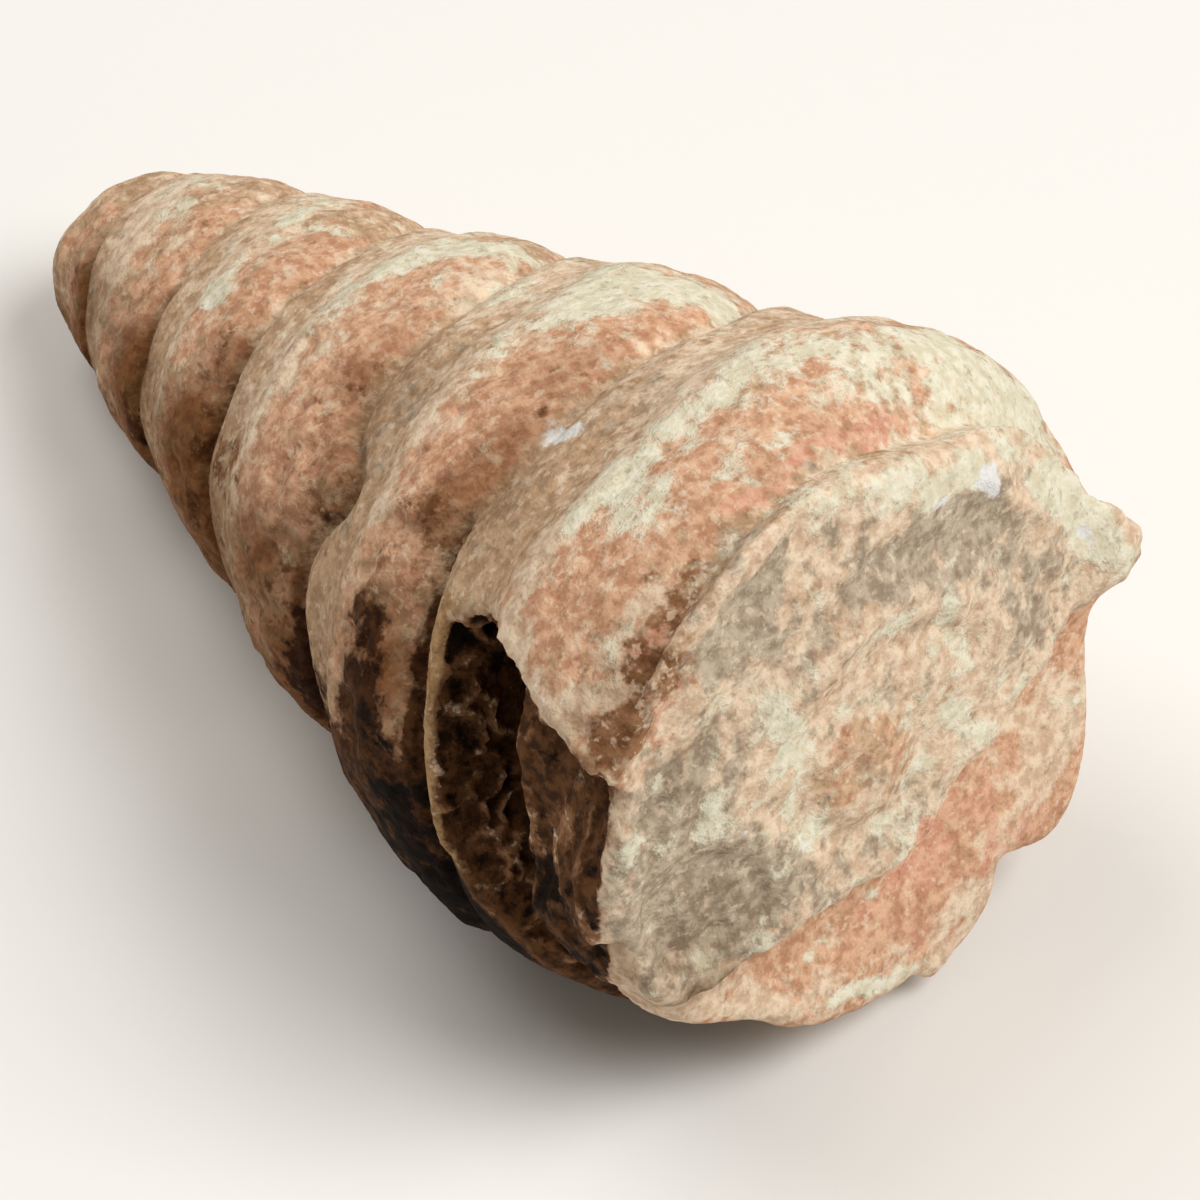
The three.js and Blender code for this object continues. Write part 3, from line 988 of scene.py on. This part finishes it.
def write_attribute(mesh, name, values):
    """Stores one value for each point of the mesh, for the material to read."""
    attribute = mesh.attributes.new(name, "FLOAT", "POINT")
    attribute.data.foreach_set("value", np.clip(values, -0.5, 1.5).astype(np.float32))


# ---- The stone's material -------------------------------------------------

def linear(red, green, blue):
    """A colour in linear light from its 0 to 255 display values."""
    shares = [value / 255 for value in (red, green, blue)]
    return [s / 12.92 if s <= 0.04045 else ((s + 0.055) / 1.055) ** 2.4 for s in shares] + [1]


# Each pigment's two colours, between which it is mottled.
COLOURS = {
    "stone": (linear(172, 140, 110), linear(204, 172, 140)),
    "rust": (linear(186, 137, 107), linear(221, 178, 146)),
    "umber": (linear(118, 80, 51), linear(158, 116, 84)),
    # Umber: brown stone, also laid on as painted shade low on the flank, toward the sutures and along the
    # face's step.
    "buff": (linear(204, 174, 146), linear(234, 212, 186)),
    "ash": (linear(154, 136, 116), linear(194, 178, 156)),
    "ochre": (linear(150, 116, 78), linear(188, 152, 112)),
    "chalk": (linear(211, 203, 176), linear(232, 227, 207)),
    "red": (linear(200, 144, 118), linear(224, 176, 150)),
    "white": (linear(222, 220, 217), linear(234, 233, 232)),
    # Soil and soot: dark brown and near black, dirt in cracks and pits and painted shade on the underside
    # and in the hollow.
    "soil_and_shade": (linear(62, 38, 21), linear(108, 72, 44)),
    "soot_and_shade": (linear(16, 9, 5), linear(42, 26, 15)),
}
# The specks lie over this pigment and those before it.
SPECKS_OVER = "red"
# What is left of the light, in red, green and blue, under the thickest film of grime and painted shade.
GRIME_AND_SHADE_TINT = (0.32, 0.22, 0.13, 1)
GRIME_AND_SHADE_WIDTH = 2.5
GRIME_AND_SHADE_UNEVENNESS = 0.7
# Widths of the flakes and grains in millimetres, and how much of the specks' colours shows.
FLAKE_WIDTH = 0.8
GRAIN_WIDTH = 0.55
PALE_SPECKS = 0.5
DARK_SPECKS = 0.3
# Width of the patches that break up a stain, how strongly they do so, and the strengths
# past an even patch at which a stain starts to show and covers all.
PATCH_WIDTH = 1.6
PATCHINESS = 2.7
SHOWS_AT = 0.3
COVERS_AT = 0.7
# How far a crust of the pigment stands out, or lies deeper, beside the flakes.
PROUD = {"chalk": 0.3, "soil_and_shade": -0.25}
GRAIN_RELIEF = 0.6
BUMP_STRENGTH = 0.6
BUMP_DEPTH = 0.35
ROUGHNESS = 0.85
SPECULAR = 0.1


class NodeChain:
    """Adds shader nodes to a material and links them."""

    def __init__(self, material):
        material.use_nodes = True
        self.tree = material.node_tree
        self.shader = self.tree.nodes["Principled BSDF"]
        coordinates = self.tree.nodes.new("ShaderNodeTexCoord")
        self.place = coordinates.outputs["Object"]

    def link(self, source, target):
        self.tree.links.new(source, target)

    def noise(self, width, detail, offset):
        """Noise whose largest marks are about width millimetres wide, one for each offset."""
        node = self.tree.nodes.new("ShaderNodeTexNoise")
        node.noise_dimensions = "4D"
        node.inputs["W"].default_value = offset
        node.inputs["Scale"].default_value = 1 / (width * MM)
        node.inputs["Detail"].default_value = detail
        node.inputs["Roughness"].default_value = 0.62
        self.link(self.place, node.inputs["Vector"])
        return node.outputs["Fac"]

    def attribute(self, name):
        """The strength of a stain, as stored on the mesh."""
        node = self.tree.nodes.new("ShaderNodeAttribute")
        node.attribute_name = name
        return node.outputs["Fac"]

    def math(self, operation, first, second, third=0):
        node = self.tree.nodes.new("ShaderNodeMath")
        node.operation = operation
        for socket, value in zip(node.inputs, (first, second, third)):
            if isinstance(value, bpy.types.NodeSocket):
                self.link(value, socket)
            else:
                socket.default_value = value
        return node.outputs[0]

    def stepped(self, value, low, high):
        """0 at low, 1 at high, and smooth between."""
        node = self.tree.nodes.new("ShaderNodeMapRange")
        node.interpolation_type = "SMOOTHSTEP"
        node.inputs["From Min"].default_value = low
        node.inputs["From Max"].default_value = high
        self.link(value, node.inputs["Value"])
        return node.outputs["Result"]

    def mixed(self, share, first, second, blend="MIX"):
        node = self.tree.nodes.new("ShaderNodeMix")
        node.data_type = "RGBA"
        node.blend_type = blend
        self.link(share, node.inputs["Factor"])
        for socket, value in ((node.inputs[6], first), (node.inputs[7], second)):
            if isinstance(value, bpy.types.NodeSocket):
                self.link(value, socket)
            else:
                socket.default_value = value
        return node.outputs[2]


def stone_material():
    """Mottled, speckled stone under patches of the pigments, with a darkening film on top that is partly
    grime and partly painted shade.
    """
    material = bpy.data.materials.new("fossil_stone")
    chain = NodeChain(material)
    flakes = chain.noise(FLAKE_WIDTH, 3, 5)
    mottle = chain.stepped(flakes, 0.36, 0.64)
    grains = chain.noise(GRAIN_WIDTH, 2, 9)
    pale_specks = chain.math("MULTIPLY", chain.stepped(grains, 0.56, 0.66), PALE_SPECKS)
    dark_specks = chain.math("MULTIPLY", chain.stepped(grains, 0.42, 0.32), DARK_SPECKS)
    relief = chain.math("MULTIPLY_ADD", grains, GRAIN_RELIEF, flakes)
    colour = chain.mixed(mottle, *COLOURS["stone"])
    for number, pigment in enumerate(PIGMENTS):
        patches = chain.noise(PATCH_WIDTH, 4, 20 + 3 * number)
        strength = chain.math("MULTIPLY_ADD", patches, PATCHINESS, chain.attribute(pigment))
        even = 0.5 * PATCHINESS
        cover = chain.stepped(strength, even + SHOWS_AT, even + COVERS_AT)
        colour = chain.mixed(cover, colour, chain.mixed(mottle, *COLOURS[pigment]))
        if pigment in PROUD:
            relief = chain.math("MULTIPLY_ADD", cover, PROUD[pigment], relief)
        if pigment == SPECKS_OVER:
            colour = chain.mixed(pale_specks, colour, COLOURS["buff"][1])
            colour = chain.mixed(dark_specks, colour, COLOURS["umber"][0])
    # The darkening film: partly grime, partly painted shade.
    film = chain.noise(GRIME_AND_SHADE_WIDTH, 3, 70)
    film = chain.math("MULTIPLY_ADD", film, GRIME_AND_SHADE_UNEVENNESS, chain.attribute("grime_and_shade"))
    grime_and_shade = chain.stepped(film, 0.5 * GRIME_AND_SHADE_UNEVENNESS, 0.5 * GRIME_AND_SHADE_UNEVENNESS + 1)
    colour = chain.mixed(grime_and_shade, colour, GRIME_AND_SHADE_TINT, "MULTIPLY")
    chain.link(colour, chain.shader.inputs["Base Color"])
    chain.shader.inputs["Roughness"].default_value = ROUGHNESS
    chain.shader.inputs["Specular IOR Level"].default_value = SPECULAR
    bump = chain.tree.nodes.new("ShaderNodeBump")
    bump.inputs["Strength"].default_value = BUMP_STRENGTH
    bump.inputs["Distance"].default_value = BUMP_DEPTH * MM
    chain.link(relief, bump.inputs["Height"])
    chain.link(bump.outputs["Normal"], chain.shader.inputs["Normal"])
    return material


# ---- The piece ------------------------------------------------------------

rings = smooth_surface()
offset = set_down_offset(rings.reshape(-1, 3))
points, faces = ring_mesh(rings + offset)
points[:, 2] = np.maximum(points[:, 2], 0)
stone_piece = remeshed_object("fossil_stone_surface", points, faces)
mesh = stone_piece.data
mesh.shade_smooth()
places = ShellPlaces(read_points(mesh), offset)
height = carved_height(places)
carved = places.points + read_normals(mesh) * height[:, None]
carved[:, 2] = np.maximum(carved[:, 2], 0)
for stain, strengths in stain_strengths(places).items():
    write_attribute(mesh, stain, strengths)
write_points(mesh, carved)
mesh.materials.append(stone_material())

# ---- Camera, lights and floor ---------------------------------------------

# The camera and the point it looks at, about the shell's axis in millimetres.
CAMERA_X = 176.17
CAMERA_RADIUS = 210.79
AIM_X = -11.93
AIM_RADIUS = 1.3
CAMERA_ROLL = math.radians(0.565)
LENS = 154.7
SENSOR_WIDTH = 36
LIGHT_DISTANCE = 0.9
WORLD_STRENGTH = 0.25
FLOOR_REACH = 3


def frame_point(x, radius, angle):
    """A point given about the shell's axis, in metres in the frame."""
    local = shell_to_part(np.array(float(x)), np.array(float(radius)), np.array(float(angle)))
    return Vector((local + offset) * MM)


camera = bpy.data.objects.new("camera", bpy.data.cameras.new("camera"))
bpy.context.scene.collection.objects.link(camera)
camera.data.lens = LENS
camera.data.sensor_width = SENSOR_WIDTH
camera.data.clip_start = 0.01
eye = frame_point(CAMERA_X, CAMERA_RADIUS, 0)
aim = frame_point(AIM_X, AIM_RADIUS, 90)
turn = (aim - eye).to_track_quat("-Z", "Y").to_matrix().to_4x4()
camera.matrix_world = Matrix.Translation(eye) @ turn @ Matrix.Rotation(CAMERA_ROLL, 4, "Z")
bpy.context.scene.camera = camera


def add_area_light(name, direction, size, power, colour):
    """A soft square light that shines on the fossil from a direction."""
    light = bpy.data.lights.new(name, "AREA")
    light.size = size
    light.energy = power
    light.color = colour
    lamp = bpy.data.objects.new(name, light)
    towards = Vector(direction).normalized()
    facing = towards.to_track_quat("Z", "Y").to_matrix().to_4x4()
    lamp.matrix_world = Matrix.Translation(towards * LIGHT_DISTANCE) @ facing
    bpy.context.scene.collection.objects.link(lamp)


add_area_light("key_light", (0.52, 0.3, 0.8), 0.5, 6.3, (1, 0.99, 0.97))
add_area_light("top_light", (-0.5, -0.15, 0.85), 0.6, 3.4, (1, 0.98, 0.95))
world = bpy.data.worlds.new("studio")
world.use_nodes = True
background = world.node_tree.nodes["Background"]
background.inputs["Color"].default_value = (1, 0.94, 0.83, 1)
background.inputs["Strength"].default_value = WORLD_STRENGTH
bpy.context.scene.world = world
bpy.context.scene.view_settings.view_transform = "Standard"

floor_mesh = bpy.data.meshes.new("floor")
floor_corners = [(FLOOR_REACH * x, FLOOR_REACH * y, 0) for x, y in ((-1, -1), (1, -1), (1, 1), (-1, 1))]
floor_mesh.from_pydata(floor_corners, [], [(0, 1, 2, 3)])
floor = bpy.data.objects.new("floor", floor_mesh)
bpy.context.scene.collection.objects.link(floor)
paper = bpy.data.materials.new("pale_paper")
paper.use_nodes = True
paper_shader = paper.node_tree.nodes["Principled BSDF"]
paper_shader.inputs["Base Color"].default_value = (0.85, 0.84, 0.82, 1)
paper_shader.inputs["Roughness"].default_value = 0.9
floor_mesh.materials.append(paper)

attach(stone_piece, "root")
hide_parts(NODE)
